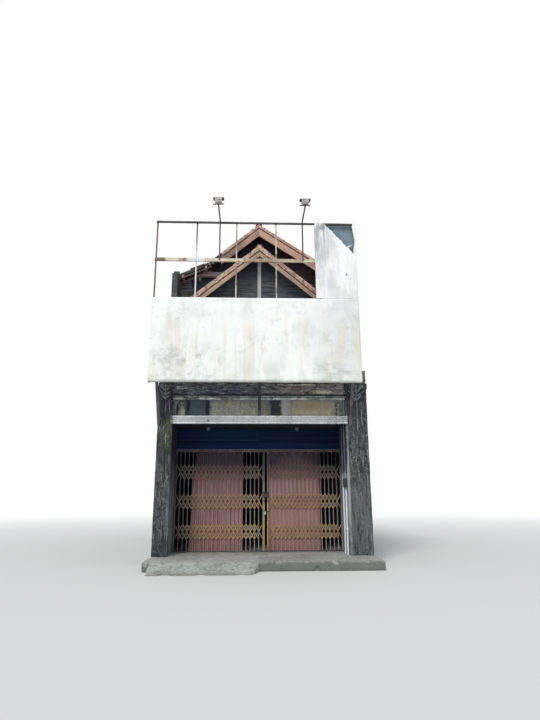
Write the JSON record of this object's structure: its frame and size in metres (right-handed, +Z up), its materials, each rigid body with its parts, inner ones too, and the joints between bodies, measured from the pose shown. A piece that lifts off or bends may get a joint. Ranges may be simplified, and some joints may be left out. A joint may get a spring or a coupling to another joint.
{
  "type": "terraced shophouse with sign frame",
  "caption": "Two-storey terraced shophouse with a gated porch, gable roofs and a bare sign frame with plain sheeting across its upper front.",
  "frame": {"origin": "on the ground under the plinth, on the plot's centre line, below the front face of the piers", "axes": "+X to the right seen from the street, +Y from the street into the house, +Z up"},
  "size_m": [4.835, 10.63, 8.5698],
  "materials": {
    "floor_concrete": "rough weathered concrete",
    "wall_plaster": "grey weathered plaster with dark mould",
    "pier_plaster": "dark grey-brown plaster with moss and black mould",
    "beam_plaster": "faded yellow plaster with dark damp stains",
    "moulding_plaster": "chalky off-white ribbed moulding",
    "ceiling_board": "dark painted boarding",
    "header_board": "dark navy slatted boards",
    "lamp_glass": "pale opal",
    "gate_steel": "worn yellow-brown paint with rust",
    "gate_stile_paint": "faded light yellow paint",
    "gate_sheet_paint": "faded pink-brown paint",
    "latch_steel": "dark greasy steel",
    "pipe_plastic": "pale grey, dusty",
    "door_wood": "old brown paint",
    "frame_wood": "old brown paint",
    "window_glass": "dusty",
    "gable_board": "dark slate-blue boards",
    "pale_wood": "pale weathered paint",
    "soffit_wood": "beige lining boards",
    "barge_wood": "orange-tan boards",
    "roof_tile": "weathered clay tile, pinkish with dark moss",
    "sign_steel": "thin rusty paint",
    "vinyl_sheet": "white vinyl with faint rust streaks",
    "vinyl_back": "grey woven back of vinyl",
    "lamp_steel": "dark grey paint",
    "floodlight_shell": "dull pale grey"
  },
  "bodies": {
    "root": {"plinth": "floor_concrete", "front_ramp": "floor_concrete", "left_party_wall": "wall_plaster", "right_party_wall": "wall_plaster", "left_pier": "pier_plaster", "right_pier": "pier_plaster", "left_pier_head": "pier_plaster", "right_pier_head": "pier_plaster", "front_beam": "beam_plaster", "lintel_moulding": "moulding_plaster", "front_ledge": "moulding_plaster", "front_parapet": "pier_plaster", "side_parapets": "pier_plaster", "upper_floor": "floor_concrete", "porch_ceiling": "ceiling_board", "ceiling_lamps": "lamp_glass", "gate_head_wall": "wall_plaster", "gate_header_panel": "header_board", "gate_track": "gate_steel", "gate_floor_rail": "gate_steel", "gate_left_bars": "gate_steel", "gate_left_links": "gate_steel", "gate_right_bars": "gate_steel", "gate_right_links": "gate_steel", "gate_stiles": "gate_stile_paint", "gate_backing_sheets": "gate_sheet_paint", "gate_latch": "latch_steel", "jamb_pipes": "pipe_plastic", "back_wall_lower": "wall_plaster", "back_wall_upper": "wall_plaster", "back_door": "door_wood", "back_window_frames": "frame_wood", "back_window_glass": "window_glass", "front_room_wall": "wall_plaster", "front_room_side_walls": "wall_plaster", "front_room_window": "frame_wood", "front_room_glass": "window_glass", "low_gable_boarding": "gable_board", "low_gable_post": "pale_wood", "low_soffit": "soffit_wood", "low_roof_left": "roof_tile", "low_roof_right": "roof_tile", "low_ridge_cap": "roof_tile", "low_barge_boards": "barge_wood", "upper_front_wall": "wall_plaster", "main_roof_left": "roof_tile", "main_roof_right": "roof_tile", "main_ridge_cap": "roof_tile", "main_barge_boards": "barge_wood", "sign_posts": "sign_steel", "sign_rails": "sign_steel", "sign_braces": "sign_steel", "sign_ties": "sign_steel", "sign_sheet_lower": "vinyl_sheet", "sign_sheet_upper": "vinyl_sheet", "sign_back_sheet": "vinyl_back", "lamp_arms": "lamp_steel", "floodlights": "floodlight_shell"}
  },
  "joints": []
}
